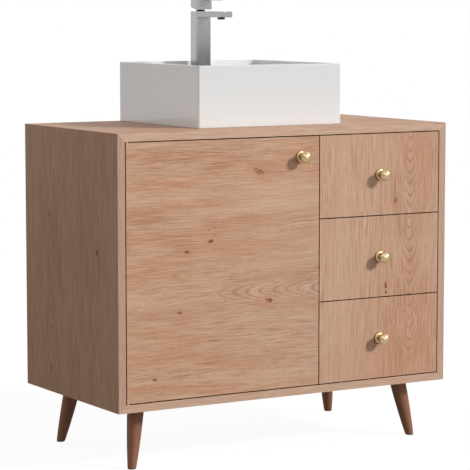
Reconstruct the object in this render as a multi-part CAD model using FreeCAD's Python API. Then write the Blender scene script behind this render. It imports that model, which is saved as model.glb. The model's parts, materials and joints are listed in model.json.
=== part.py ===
"""Freestanding bathroom vanity with a vessel sink and a single-lever faucet.

Millimetres, +Z up, the front faces -Y.  The origin is on the floor, under the middle of the
object's bounding box.  Each sub-part is written to parts/NAME.step.
"""
import FreeCAD, Part
import math
import os

V = FreeCAD.Vector

# ---------------------------------------------------------------- driving dimensions
# Cabinet: 36 x 19 in carcass on turned legs, 31 in to the countertop.
CAB_WIDTH = 914.0
CAB_DEPTH = 482.0
CAB_HEIGHT = 641.0
LEG_HEIGHT = 143.0
PANEL = 19.0                # mitred outer panels
FRONT_THICK = 18.0          # door and drawer fronts, let in flush with the panel edges
GAP = 2.5                   # round every front
SPLIT_FROM_LEFT = 543.5     # middle of the gap between the door and the drawers
BACK_THICK = 9.0
REBATE = 9.0                # how far the back panel is let into the outer panels
DOWELS_PER_MITRE = 4
DOWEL_R = 3.0
DOWEL_LENGTH = 18.0
DOWEL_INSET = 11.5          # dowel's middle, in from both outer faces of a mitre
DOWEL_FROM_END = 60.0
PARTITION = 18.0
FRONT_CLEARANCE = 2.0       # between a closed front and what stands behind it
DRAWER_COUNT = 3

# Knobs
KNOB_OUT = 34.0             # from the front's face to the knob's top
DOOR_KNOB_FROM_EDGE = 52.0
DOOR_KNOB_FROM_TOP = 47.0

# Legs, measured from the cabinet's corners
LEG_TOP_IN_X = 86.0
LEG_TOP_IN_Y = 79.0
LEG_FOOT_IN_X = 62.0
LEG_FOOT_IN_Y = 55.0
LEG_TOP_R = 20.0
LEG_MID_R = 16.4
LEG_FOOT_R = 10.0
LEG_PLATE = 64.0
LEG_PLATE_THICK = 3.0
LEG_PLATE_CORNER = 6.0
PLATE_SCREW_IN = 7.0        # from the plate's edges
LEG_BOLT_R = 4.0
LEG_BOLT_IN_LEG = 45.0
LEG_BOLT_IN_PANEL = 10.0
LEG_BOLT_HOLE_R = 8.0
LEG_BOLT_HOLE_DEPTH = 12.0
GLIDE_R = 9.0
GLIDE_THICK = 2.0
GLIDE_NAIL_R = 2.0
GLIDE_NAIL_TOP = 14.0

# Door hinges: flat leaves let into the top and bottom edges, turning on short pins.
HINGE_IN = 4.5              # pin axis, in from the door's edge and back from its face
HINGE_LEAF_HALF = 4.0
HINGE_LEAF_LENGTH = 42.0
HINGE_LEAF_THICK = 2.0
HINGE_PIN_R = 2.0
HINGE_SHOULDER_R = 3.4
HINGE_PIN_IN_DOOR = 10.0
HINGE_SCREWS_AT = (15.0, 33.0)    # along a leaf, from the pin
RUNNING = 0.05              # radial clearance of a running fit
BODY_CLEARANCE = 0.3        # between pieces that move past each other
CATCH_FROM_TOP = 110.0
CATCH_WIDTH = 14.0
CATCH_HALF_HEIGHT = 16.0
CATCH_DEPTH = 40.0
STRIKE_THICK = 1.0

# Drawer boxes and their three-part slides
SLIDE_WIDTH = 12.7
SLIDE_LENGTH = 400.0
SLIDE_WALL = 1.2
# Web's and flanges' distance from the wall, half the height, and what is left free in front
# and behind, for the slide's three members.
OUTER_MEMBER = (0.0, 9.5, 22.5, 0.0, 0.0)
MIDDLE_MEMBER = (2.4, 10.5, 19.0, 3.0, 10.0)
INNER_MEMBER = (SLIDE_WIDTH - SLIDE_WALL, 6.0, 14.0, 1.0, 5.0)
DRAWER_SIDE = 12.0
DRAWER_HEIGHT = 150.0
DRAWER_DEPTH = 400.0
DRAWER_BOTTOM = 6.0
DRAWER_BOTTOM_LIFT = 10.0   # above the sides' lower edges
GROOVE = 5.0
DRAWER_BOX_LIFT = 14.0      # box's underside above the front's lower edge
SLIDE_LIFT = 60.0           # slide's middle above the box's underside

# Shelf and wall rail
SHELF_THICK = 16.0
SHELF_TOP = 249.0           # above the cabinet's underside
SHELF_SIDE_GAP = 1.0
SHELF_FROM_FRONT = 25.0     # behind the clear inside of the fronts
SHELF_FROM_BACK = 60.0
SHELF_PIN_R = 2.5
SHELF_PIN_IN_WALL = 8.0
SHELF_PIN_OUT = 9.0
SHELF_PIN_IN = 40.0         # from the shelf's front and back edges
RAIL_HEIGHT = 90.0
RAIL_THICK = 18.0
WALL_HOLE_R = 3.0
WALL_HOLE_SPACING = 400.0
PLUMBING_X = (-140.0, 60.0)       # opening in the back panel
PLUMBING_Z = (290.0, 530.0)       # above the cabinet's underside
HOSE_HOLE_R = 30.0                # in the top panel, under the faucet
DRAIN_HOLE_SPARE = 2.5

# Sink
SINK_WIDTH = 400.0
SINK_DEPTH = 395.0
SINK_HEIGHT = 147.0         # countertop to rim, with the silicone bead
SINK_FROM_FRONT = 80.0
SINK_WALL = 12.0
SINK_FOOT = 14.0
DECK_DROP = 14.0            # faucet deck below the rim
BOWL_DEPTH_Y = 284.0
BOWL_FLOOR = 36.0           # above the countertop
DRAIN_SEAT = 30.0
SINK_FLOOR_UNDER = 17.0
BEAD = 1.0
SINK_CORNER = 5.0
SINK_ARRIS = 2.0
BOWL_CORNER = 14.0
BOWL_FLOOR_CORNER = 12.0
BOWL_SLOPE_R = 110.0        # where the floor starts to fall to the drain
HOLLOW_CORNER = 10.0
FAUCET_HOLE_R = 17.5

# Drain
DRAIN_FLANGE_R = 32.0
DRAIN_TUBE_R = 21.5
DRAIN_BORE_R = 17.0
TAIL_R = 15.9
TAIL_WALL = 1.5
TAIL_DROP = 150.0           # tailpiece below the top panel
DRAIN_SEAL_R = 30.0
FLANGE_SEAL_THICK = 1.0
NUT_SEAL_THICK = 2.0
FLANGE_THICK = 2.5
DRAIN_NUT_FLATS = 56.0
DRAIN_NUT_THICK = 12.0
TUBE_BELOW_TOP = 27.0       # drain tube's end, below the top panel's underside
THREAD_BELOW_TOP = 10.0     # tailpiece's end inside the tube
GUIDE_HEIGHT = 6.0
GUIDE_HUB_R = 7.0
GUIDE_BAR = 3.0
PLUG_R = 27.5
PLUG_STEM_R = 4.0
PLUG_STEM_BELOW = 14.0      # stem's end, below the countertop
PLUG_LIFT = 0.5             # closed plug above the flange

# Faucet, heights above the countertop, distances back from the cabinet's front
FAUCET_WIDTH = 37.5
FAUCET_DEPTH = 36.0
FAUCET_FRONT = 398.0
FAUCET_BASE = 134.0
FAUCET_TOP = 272.0
FAUCET_ARRIS = 0.8
SPOUT_REACH = 106.0
SPOUT_THICK = 14.5
WATERWAY_R = 3.5
AERATOR_IN = 22.0
AERATOR_R = 9.0
AERATOR_OUT = 5.5
CARTRIDGE_R = 12.5
CARTRIDGE_DEPTH = 42.0
NECK_R = 11.0
NECK_TOP = 276.0
HANDLE_WIDTH = 36.5
HANDLE_BASE = 276.5
HANDLE_TOP = 306.0
HANDLE_PROUD = 6.0
HANDLE_CHAMFER_Y = 23.0     # of the handle's lower back edge
HANDLE_CHAMFER_Z = 5.5
LEVER_THICK = 7.0
LEVER_REACH = 61.0
TILT_HEIGHT = 274.3
TILT_PIN_R = 1.2
STEM_R = 4.0
INLET_R = 5.0
INLET_DEPTH = 14.0
INLET_X = 8.0
INLET_FORWARD = 6.0         # of the body's middle
PORT_R = 3.0
STUD_R = 4.0
STUD_BACK = 9.0             # behind the body's middle
STUD_IN_BODY = 12.0
STUD_BELOW_DECK = 42.0
WASHER_R = 25.0
WASHER_THICK = 3.0

# ---------------------------------------------------------------- places worked out from them
LEFT = -CAB_WIDTH / 2
RIGHT = CAB_WIDTH / 2
FRONT = -(CAB_DEPTH - KNOB_OUT) / 2
BACK = FRONT + CAB_DEPTH
BASE = LEG_HEIGHT
TOP = BASE + CAB_HEIGHT
IN_LEFT = LEFT + PANEL
IN_RIGHT = RIGHT - PANEL
IN_BASE = BASE + PANEL
IN_TOP = TOP - PANEL
SPLIT = LEFT + SPLIT_FROM_LEFT
PARTITION_LEFT = SPLIT - PARTITION / 2
PARTITION_RIGHT = SPLIT + PARTITION / 2
FRONTS_BACK = FRONT + FRONT_THICK
INSIDE_FRONT = FRONTS_BACK + FRONT_CLEARANCE
INSIDE_BACK = BACK - BACK_THICK

DOOR_LEFT = IN_LEFT + GAP
DOOR_RIGHT = SPLIT - GAP / 2
DOOR_BASE = IN_BASE + GAP
DOOR_TOP = IN_TOP - GAP
HINGE_X = DOOR_LEFT + HINGE_IN
HINGE_Y = FRONT + HINGE_IN

DRAWER_LEFT = SPLIT + GAP / 2
DRAWER_RIGHT = IN_RIGHT - GAP
DRAWER_PITCH = (IN_TOP - IN_BASE - GAP) / DRAWER_COUNT
DRAWER_FRONT_HEIGHT = DRAWER_PITCH - GAP
DRAWER_FRONT_MID = (DRAWER_LEFT + DRAWER_RIGHT) / 2

SINK_FRONT = FRONT + SINK_FROM_FRONT
SINK_BACK = SINK_FRONT + SINK_DEPTH
SINK_BASE = TOP + BEAD
SINK_RIM = TOP + SINK_HEIGHT
DECK = SINK_RIM - DECK_DROP
DECK_UNDER = DECK - SINK_WALL
BOWL_FRONT = SINK_FRONT + SINK_WALL
BOWL_BACK = BOWL_FRONT + BOWL_DEPTH_Y
DRAIN_Y = (BOWL_FRONT + BOWL_BACK) / 2

SPOUT_Y0 = FRONT + FAUCET_FRONT - SPOUT_REACH
BODY_Y0 = FRONT + FAUCET_FRONT
BODY_Y1 = BODY_Y0 + FAUCET_DEPTH
FAUCET_Y = (BODY_Y0 + BODY_Y1) / 2
OUTLET_Y = SPOUT_Y0 + AERATOR_IN


# ---------------------------------------------------------------- shape helpers
def box(x0, x1, y0, y1, z0, z1):
    """Box between two opposite corners."""
    return Part.makeBox(x1 - x0, y1 - y0, z1 - z0, V(x0, y0, z0))


def rod(radius, start, end):
    """Cylinder from one point to another."""
    first = V(*start)
    along = V(*end) - first
    return Part.makeCylinder(radius, along.Length, first, along)


def upright(radius, x, y, z0, z1):
    """Vertical cylinder."""
    return rod(radius, (x, y, z0), (x, y, z1))


def face_of(points):
    """Flat face inside a closed polygon."""
    corners = [V(*point) for point in points]
    return Part.Face(Part.makePolygon(corners + corners[:1]))


def extruded_x(outline, x0, x1):
    """Solid with a YZ outline, from x0 to x1."""
    return face_of([(x0, y, z) for y, z in outline]).extrude(V(x1 - x0, 0, 0))


def extruded_y(outline, y0, y1):
    """Solid with an XZ outline, from y0 to y1."""
    return face_of([(x, y0, z) for x, z in outline]).extrude(V(0, y1 - y0, 0))


def rounded_box(x0, x1, y0, y1, z0, z1, radius):
    """Box with its four vertical edges rounded."""
    block = box(x0, x1, y0, y1, z0, z1)
    corners = [edge for edge in block.Edges if abs(edge.tangentAt(edge.FirstParameter).z) > 0.9]
    return block.makeFillet(radius, corners)


def hexagon(flats, x, y, z0, z1):
    """Vertical hexagonal prism."""
    reach = flats / math.sqrt(3)
    turns = [math.radians(60 * i) for i in range(6)]
    outline = [(x + reach * math.cos(a), y + reach * math.sin(a), z0) for a in turns]
    return face_of(outline).extrude(V(0, 0, z1 - z0))


def turned(edges):
    """Solid of revolution about Z, from the edges of half its section in the XZ plane."""
    return Part.Face(Part.Wire(edges)).revolve(V(0, 0, 0), V(0, 0, 1), 360)


def line(a, b):
    """Edge of a section: (radius, height) to (radius, height)."""
    return Part.LineSegment(V(a[0], 0, a[1]), V(b[0], 0, b[1])).toShape()


def arc(a, through, b):
    """Rounded edge of a section through three (radius, height) points."""
    points = [V(p[0], 0, p[1]) for p in (a, through, b)]
    return Part.Arc(*points).toShape()


def dome(edge, height):
    """Part-sphere end of a section, from (radius, height) at its edge to the axis."""
    rise = height - edge[1]
    sphere_r = (edge[0] ** 2 + rise ** 2) / (2 * rise)
    turn = math.asin(edge[0] / sphere_r) / 2
    through = (sphere_r * math.sin(turn), height - sphere_r * (1 - math.cos(turn)))
    return arc(edge, through, (0, height))


def placed(shape, origin, up):
    """Copy of a shape made about Z, with its +Z turned to up and its origin moved."""
    moved = shape.copy()
    moved.Placement = FreeCAD.Placement(V(*origin), FreeCAD.Rotation(V(0, 0, 1), V(*up)))
    return moved


def wood_screw(at, up, head_r, shank_r, length):
    """Countersunk screw that goes in along up, with the flat of its head at a point."""
    head_depth = 1.3 * (head_r - shank_r)
    screw = turned([
        line((0, 0), (head_r, 0)),
        line((head_r, 0), (shank_r, head_depth)),
        line((shank_r, head_depth), (shank_r, length)),
        line((shank_r, length), (0, length)),
        line((0, length), (0, 0)),
    ])
    return placed(screw, at, up)


def cut_all(shape, tools):
    """Shape less each tool."""
    for tool in tools:
        shape = shape.cut(tool)
    return shape


def save(name, solids):
    """Write one sub-part, which may be a group of separate solids."""
    group = []
    for solid in solids if isinstance(solids, list) else [solids]:
        group.extend(solid.removeSplitter().Solids)
    for solid in group:
        assert solid.isValid(), name
    Part.makeCompound(group).exportStep("parts/%s.step" % name)


# ---------------------------------------------------------------- carcass
def shelf_pin_places():
    """Start and end of each shelf pin: half in the wall, half under the shelf."""
    z = BASE + SHELF_TOP - SHELF_THICK - SHELF_PIN_R
    front_row = INSIDE_FRONT + SHELF_FROM_FRONT + SHELF_PIN_IN
    back_row = INSIDE_BACK - SHELF_FROM_BACK - SHELF_PIN_IN
    places = []
    for y in (front_row, back_row):
        places.append(((IN_LEFT - SHELF_PIN_IN_WALL, y, z), (IN_LEFT + SHELF_PIN_OUT, y, z)))
        places.append(((PARTITION_LEFT - SHELF_PIN_OUT, y, z),
                       (PARTITION_LEFT + SHELF_PIN_IN_WALL, y, z)))
    return places


def mitre_dowels():
    """Dowels across each mitre, set towards the inner corner."""
    half = DOWEL_LENGTH / 2 / math.sqrt(2)
    pitch = (CAB_DEPTH - 2 * DOWEL_FROM_END) / (DOWELS_PER_MITRE - 1)
    dowels = []
    for side in (-1, 1):
        for level, x_dir in ((TOP - DOWEL_INSET, -side), (BASE + DOWEL_INSET, side)):
            x = side * (RIGHT - DOWEL_INSET)
            for i in range(DOWELS_PER_MITRE):
                y = FRONT + DOWEL_FROM_END + i * pitch
                dowels.append(rod(DOWEL_R, (x - x_dir * half, y, level - half),
                                  (x + x_dir * half, y, level + half)))
    return dowels


def wall_holes():
    """Screw holes through the wall rail and the back panel."""
    mid = (IN_LEFT + PARTITION_LEFT) / 2
    z = IN_TOP - RAIL_HEIGHT / 2
    holes = []
    for side in (-1, 1):
        x = mid + side * WALL_HOLE_SPACING / 2
        holes.append(rod(WALL_HOLE_R, (x, INSIDE_BACK - RAIL_THICK, z), (x, BACK, z)))
    return holes


def carcass():
    """Mitred outer panels, back, partition, shelf and wall rail."""
    dowels = mitre_dowels()
    pins = [rod(SHELF_PIN_R, *place) for place in shelf_pin_places()]
    rebate = box(LEFT + REBATE, RIGHT - REBATE, INSIDE_BACK, BACK, BASE + REBATE, TOP - REBATE)
    drain_hole = upright(DRAIN_TUBE_R + DRAIN_HOLE_SPARE, 0, DRAIN_Y, IN_TOP, TOP)
    hose_hole = upright(HOSE_HOLE_R, 0, FAUCET_Y, IN_TOP, TOP)
    leaves = [hinge_leaf(end, "cabinet", solid=True) for end in (1, -1)]
    leaves += hinge_screws("cabinet")

    top = extruded_y([(LEFT, TOP), (RIGHT, TOP), (IN_RIGHT, IN_TOP), (IN_LEFT, IN_TOP)], FRONT, BACK)
    save("top_panel", cut_all(top, [rebate, drain_hole, hose_hole] + dowels + leaves))

    base = extruded_y([(LEFT, BASE), (RIGHT, BASE), (IN_RIGHT, IN_BASE), (IN_LEFT, IN_BASE)],
                      FRONT, BACK)
    base = cut_all(base, [rebate] + dowels + leaves)
    save("bottom_panel", cut_all(base, leg_panel_holes()))

    for name, outer, inner in (("left", LEFT, IN_LEFT), ("right", RIGHT, IN_RIGHT)):
        side = extruded_y([(outer, BASE), (outer, TOP), (inner, IN_TOP), (inner, IN_BASE)],
                          FRONT, BACK)
        save(name + "_side_panel", cut_all(side, [rebate] + dowels + pins))

    partition = box(PARTITION_LEFT, PARTITION_RIGHT, INSIDE_FRONT, INSIDE_BACK, IN_BASE, IN_TOP)
    save("centre_partition", cut_all(partition, pins))

    back = box(LEFT + REBATE, RIGHT - REBATE, INSIDE_BACK, BACK, BASE + REBATE, TOP - REBATE)
    plumbing = box(*PLUMBING_X, INSIDE_BACK, BACK, BASE + PLUMBING_Z[0], BASE + PLUMBING_Z[1])
    save("back_panel", cut_all(back, [plumbing] + wall_holes()))

    rail = box(IN_LEFT, PARTITION_LEFT, INSIDE_BACK - RAIL_THICK, INSIDE_BACK,
               IN_TOP - RAIL_HEIGHT, IN_TOP)
    save("wall_rail", cut_all(rail, wall_holes()))

    save("shelf", box(IN_LEFT + SHELF_SIDE_GAP, PARTITION_LEFT - SHELF_SIDE_GAP,
                      INSIDE_FRONT + SHELF_FROM_FRONT, INSIDE_BACK - SHELF_FROM_BACK,
                      BASE + SHELF_TOP - SHELF_THICK, BASE + SHELF_TOP))
    save("shelf_pins", pins)
    save("mitre_dowels", dowels)


# ---------------------------------------------------------------- legs
def leg_corners():
    """Name, top centre and foot centre of each leg."""
    corners = []
    for y_name, y_edge, y_in in (("front", FRONT, 1), ("back", BACK, -1)):
        for x_name, x_edge, x_in in (("left", LEFT, 1), ("right", RIGHT, -1)):
            top = V(x_edge + x_in * LEG_TOP_IN_X, y_edge + y_in * LEG_TOP_IN_Y, BASE)
            foot = V(x_edge + x_in * LEG_FOOT_IN_X, y_edge + y_in * LEG_FOOT_IN_Y, 0)
            corners.append(("leg_%s_%s" % (y_name, x_name), top, foot))
    return corners


def leg_bolt(top, foot):
    """Bolt along the leg's axis, from inside the leg into the bottom panel."""
    along = (foot - top).normalize()
    return rod(LEG_BOLT_R, tuple(top + along * LEG_BOLT_IN_LEG),
               tuple(top - along * LEG_BOLT_IN_PANEL))


def plate_screw_places(top):
    """Centres of the four screws of a leg plate."""
    reach = LEG_PLATE / 2 - PLATE_SCREW_IN
    return [(top.x + sx * reach, top.y + sy * reach) for sx in (-1, 1) for sy in (-1, 1)]


def plate_screw(x, y):
    """Countersunk wood screw up into the bottom panel."""
    return wood_screw((x, y, BASE - LEG_PLATE_THICK), (0, 0, 1), 3.8, 2.0, 17.0)


def leg_panel_holes():
    """Holes in the bottom panel for the leg bolts and the plate screws."""
    holes = []
    for _, top, foot in leg_corners():
        holes.append(upright(LEG_BOLT_HOLE_R, top.x, top.y, BASE, BASE + LEG_BOLT_HOLE_DEPTH))
        holes.extend(plate_screw(x, y) for x, y in plate_screw_places(top))
    return holes


def legs():
    """Splayed turned legs with their plates, fasteners and glides."""
    plates = []
    fasteners = []
    glides = []
    for name, top, foot in leg_corners():
        length = (foot - top).Length
        spare = 10.0
        blank = turned([
            line((0, -spare), (LEG_TOP_R, -spare)),
            line((LEG_TOP_R, -spare), (LEG_TOP_R, 0)),
            arc((LEG_TOP_R, 0), (LEG_MID_R, length / 2), (LEG_FOOT_R, length)),
            line((LEG_FOOT_R, length), (LEG_FOOT_R, length + spare)),
            line((LEG_FOOT_R, length + spare), (0, length + spare)),
            line((0, length + spare), (0, -spare)),
        ])
        leg = placed(blank, tuple(top), tuple(foot - top))
        slab = box(LEFT, RIGHT, FRONT, BACK, GLIDE_THICK, BASE - LEG_PLATE_THICK)
        bolt = leg_bolt(top, foot)
        glide = upright(GLIDE_R, foot.x, foot.y, 0, GLIDE_THICK)
        glide = glide.fuse(upright(GLIDE_NAIL_R, foot.x, foot.y, GLIDE_THICK, GLIDE_NAIL_TOP))
        save(name, cut_all(leg.common(slab), [bolt, glide]))

        half = LEG_PLATE / 2
        plate = rounded_box(top.x - half, top.x + half, top.y - half, top.y + half,
                            BASE - LEG_PLATE_THICK, BASE, LEG_PLATE_CORNER)
        screws = [plate_screw(x, y) for x, y in plate_screw_places(top)]
        plates.append(cut_all(plate, [bolt] + screws))
        fasteners.extend([bolt] + screws)
        glides.append(glide)
    save("leg_plates", plates)
    save("leg_fasteners", fasteners)
    save("leg_glides", glides)


# ---------------------------------------------------------------- door
def hinge_leaf(end, side, solid=False):
    """Hinge leaf at the top (+1) or bottom (-1) end, on the cabinet or in the door."""
    z_cabinet = IN_TOP if end > 0 else IN_BASE
    if side == "cabinet":
        z0 = z_cabinet
        z1 = z_cabinet + end * HINGE_LEAF_THICK
    else:
        z0 = z_cabinet - end * GAP
        z1 = z0 - end * HINGE_LEAF_THICK
    low = min(z0, z1)
    high = max(z0, z1)
    leaf = box(HINGE_X, HINGE_X + HINGE_LEAF_LENGTH, HINGE_Y - HINGE_LEAF_HALF,
               HINGE_Y + HINGE_LEAF_HALF, low, high)
    leaf = leaf.fuse(upright(HINGE_LEAF_HALF, HINGE_X, HINGE_Y, low, high))
    if solid:
        return leaf
    bore = HINGE_PIN_R if side == "cabinet" else HINGE_PIN_R + RUNNING
    return cut_all(leaf, [upright(bore, HINGE_X, HINGE_Y, low, high)] + hinge_screws(side))


def hinge_screws(side):
    """Screws of both hinges' leaves, on the cabinet or in the door."""
    screws = []
    for end in (1, -1):
        z_cabinet = IN_TOP if end > 0 else IN_BASE
        z = z_cabinet if side == "cabinet" else z_cabinet - end * GAP
        into = end if side == "cabinet" else -end
        for along in HINGE_SCREWS_AT:
            screws.append(wood_screw((HINGE_X + along, HINGE_Y, z), (0, 0, into), 3.0, 1.6, 13.0))
    return screws


def hinge_pin(end):
    """Shouldered pin, fast in the cabinet's leaf and running in the door's."""
    z_cabinet = IN_TOP if end > 0 else IN_BASE
    z_door = z_cabinet - end * GAP
    span = sorted((z_cabinet + end * HINGE_LEAF_THICK, z_door - end * HINGE_PIN_IN_DOOR))
    shoulder = sorted((z_cabinet, z_door + end * BODY_CLEARANCE))
    pin = upright(HINGE_PIN_R, HINGE_X, HINGE_Y, *span)
    return pin.fuse(upright(HINGE_SHOULDER_R, HINGE_X, HINGE_Y, *shoulder))


def knob_blank():
    """Turned knob standing on Z, with its base at the origin."""
    return turned([
        line((0, 0), (13.5, 0)),
        line((13.5, 0), (13.5, 2.4)),
        arc((13.5, 2.4), (12.7, 4.4), (10.6, 5.4)),
        arc((10.6, 5.4), (6.4, 8.8), (6.2, 14.4)),
        arc((6.2, 14.4), (10.8, 16.8), (13.7, 20.8)),
        arc((13.7, 20.8), (14.3, 23.2), (13.7, 25.6)),
        dome((13.7, 25.6), KNOB_OUT),
        line((0, KNOB_OUT), (0, 0)),
    ])


def knob_screw(x, z):
    """Pan-head screw from behind a front into its knob."""
    in_knob = 9.0
    head_thick = 2.5
    shank = rod(2.0, (x, FRONTS_BACK, z), (x, FRONT - in_knob, z))
    return shank.fuse(rod(4.0, (x, FRONTS_BACK, z), (x, FRONTS_BACK + head_thick, z)))


def knob(name, x, z):
    """Knob and its screw, which share one node as two separate solids."""
    screw = knob_screw(x, z)
    body = placed(knob_blank(), (x, FRONT, z), (0, -1, 0)).cut(screw)
    save(name, [body, screw])
    return screw


def door():
    """Door with its knob and hinge leaves, and the cabinet's side of the hinges and catch."""
    panel = box(DOOR_LEFT, DOOR_RIGHT, FRONT, FRONTS_BACK, DOOR_BASE, DOOR_TOP)
    tools = [knob("door_knob", DOOR_RIGHT - DOOR_KNOB_FROM_EDGE, DOOR_TOP - DOOR_KNOB_FROM_TOP)]
    for end in (1, -1):
        z_door = DOOR_TOP if end > 0 else DOOR_BASE
        depth = sorted((z_door, z_door - end * (HINGE_PIN_IN_DOOR + 2)))
        tools.append(hinge_leaf(end, "door", solid=True))
        tools.append(upright(HINGE_PIN_R + BODY_CLEARANCE, HINGE_X, HINGE_Y, *depth))
    door_screws = hinge_screws("door")
    save("door_panel", cut_all(panel, tools + door_screws))
    save("door_hinge_leaves", [hinge_leaf(1, "door"), hinge_leaf(-1, "door")] + door_screws)

    leaves = [hinge_leaf(1, "cabinet"), hinge_leaf(-1, "cabinet")]
    pins = [hinge_pin(1), hinge_pin(-1)]
    save("cabinet_hinge_leaves", leaves + pins + hinge_screws("cabinet"))

    catch_z = IN_TOP - CATCH_FROM_TOP
    strike_back = FRONTS_BACK + STRIKE_THICK
    strike_half = CATCH_HALF_HEIGHT - 2
    save("door_strike_plate", box(PARTITION_LEFT - CATCH_WIDTH + 1, PARTITION_LEFT - 1,
                                  FRONTS_BACK, strike_back,
                                  catch_z - strike_half, catch_z + strike_half))
    save("door_catch", rounded_box(PARTITION_LEFT - CATCH_WIDTH, PARTITION_LEFT,
                                   strike_back + BODY_CLEARANCE, strike_back + CATCH_DEPTH,
                                   catch_z - CATCH_HALF_HEIGHT, catch_z + CATCH_HALF_HEIGHT, 2))


# ---------------------------------------------------------------- drawers
def channel(wall_x, inward, member, z):
    """Slide member: a web beside the wall and two flanges, distances measured from the wall."""
    web_at, flange_to, half_height, free_front, free_back = member
    y0 = INSIDE_FRONT + free_front
    y1 = INSIDE_FRONT + SLIDE_LENGTH - free_back

    def at(u):
        return wall_x + inward * u

    def plate(u0, u1, v0, v1):
        x0, x1 = sorted((at(u0), at(u1)))
        return box(x0, x1, y0, y1, z + v0, z + v1)

    web = plate(web_at, web_at + SLIDE_WALL, -half_height, half_height)
    low, high = sorted((web_at, flange_to))
    upper = plate(low, high, half_height - SLIDE_WALL, half_height)
    lower = plate(low, high, -half_height, SLIDE_WALL - half_height)
    return web.fuse(upper).fuse(lower)


def slide_members(z, inward):
    """Outer, middle and inner members of one slide, at one wall of the drawer bay."""
    wall = PARTITION_RIGHT if inward > 0 else IN_RIGHT
    return [channel(wall, inward, member, z)
            for member in (OUTER_MEMBER, MIDDLE_MEMBER, INNER_MEMBER)]


def drawers():
    """Drawers numbered from the top, with their slides."""
    rails = []
    box_left = PARTITION_RIGHT + SLIDE_WIDTH
    box_right = IN_RIGHT - SLIDE_WIDTH
    box_back = FRONTS_BACK + DRAWER_DEPTH
    for i in range(DRAWER_COUNT):
        name = "drawer_%d" % (i + 1)
        front_base = IN_BASE + GAP + (DRAWER_COUNT - 1 - i) * DRAWER_PITCH
        base = front_base + DRAWER_BOX_LIFT
        top = base + DRAWER_HEIGHT
        floor_base = base + DRAWER_BOTTOM_LIFT
        floor_top = floor_base + DRAWER_BOTTOM
        floor = box(box_left + DRAWER_SIDE - GROOVE, box_right - DRAWER_SIDE + GROOVE,
                    FRONTS_BACK - GROOVE, box_back, floor_base, floor_top)
        screw = knob(name + "_knob", DRAWER_FRONT_MID, front_base + DRAWER_FRONT_HEIGHT / 2)
        front = box(DRAWER_LEFT, DRAWER_RIGHT, FRONT, FRONTS_BACK,
                    front_base, front_base + DRAWER_FRONT_HEIGHT)
        sides = [box(box_left, box_left + DRAWER_SIDE, FRONTS_BACK, box_back, base, top),
                 box(box_right - DRAWER_SIDE, box_right, FRONTS_BACK, box_back, base, top)]
        save(name + "_front", cut_all(front, [floor, screw]))
        save(name + "_sides", [side.cut(floor) for side in sides])
        save(name + "_back", box(box_left + DRAWER_SIDE, box_right - DRAWER_SIDE,
                                 box_back - DRAWER_SIDE, box_back, floor_top, top))
        save(name + "_bottom", floor)

        left = slide_members(base + SLIDE_LIFT, 1)
        right = slide_members(base + SLIDE_LIFT, -1)
        rails.extend([left[0], right[0]])
        save(name + "_slide_middles", [left[1], right[1]])
        save(name + "_slide_inners", [left[2], right[2]])
    save("cabinet_slide_rails", rails)


# ---------------------------------------------------------------- sink and drain
def sink_basin():
    """Ceramic basin: bowl in front, faucet deck behind, hollow underneath."""
    half = SINK_WIDTH / 2
    in_half = half - SINK_WALL
    block = rounded_box(-half, half, SINK_FRONT, SINK_BACK, SINK_BASE, SINK_RIM, SINK_CORNER)
    rim_edges = [edge for edge in block.Edges if edge.BoundBox.ZMin > SINK_RIM - 0.01]
    block = block.makeFillet(SINK_ARRIS, rim_edges)

    recess = rounded_box(-in_half, in_half, BOWL_FRONT, SINK_BACK - SINK_WALL,
                         DECK, SINK_RIM, BOWL_CORNER)
    floor = TOP + BOWL_FLOOR
    bowl = rounded_box(-in_half, in_half, BOWL_FRONT, BOWL_BACK, floor, SINK_RIM, BOWL_CORNER)
    floor_edges = [edge for edge in bowl.Edges if edge.BoundBox.ZMax < floor + 0.01]
    bowl = bowl.makeFillet(BOWL_FLOOR_CORNER, floor_edges)
    slope = Part.makeCone(DRAIN_FLANGE_R + 2, BOWL_SLOPE_R, BOWL_FLOOR - DRAIN_SEAT,
                          V(0, DRAIN_Y, TOP + DRAIN_SEAT))

    foot_half = half - SINK_FOOT
    under = TOP + SINK_FLOOR_UNDER
    hollow_base = rounded_box(-foot_half, foot_half, SINK_FRONT + SINK_FOOT, SINK_BACK - SINK_FOOT,
                              SINK_BASE, under, HOLLOW_CORNER)
    hollow_deck = rounded_box(-foot_half, foot_half, BOWL_BACK + SINK_WALL, SINK_BACK - SINK_FOOT,
                              SINK_BASE, DECK_UNDER, HOLLOW_CORNER)
    holes = [upright(DRAIN_TUBE_R + 1.5, 0, DRAIN_Y, under, TOP + DRAIN_SEAT),
             upright(FAUCET_HOLE_R, 0, FAUCET_Y, DECK_UNDER, DECK)]
    tools = [recess, bowl, slope, hollow_base, hollow_deck] + holes
    save("sink_basin", cut_all(block, tools))


def ring(outer, inner, y, z0, z1):
    """Round ring about a vertical axis at x = 0."""
    return upright(outer, 0, y, z0, z1).cut(upright(inner, 0, y, z0, z1))


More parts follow.
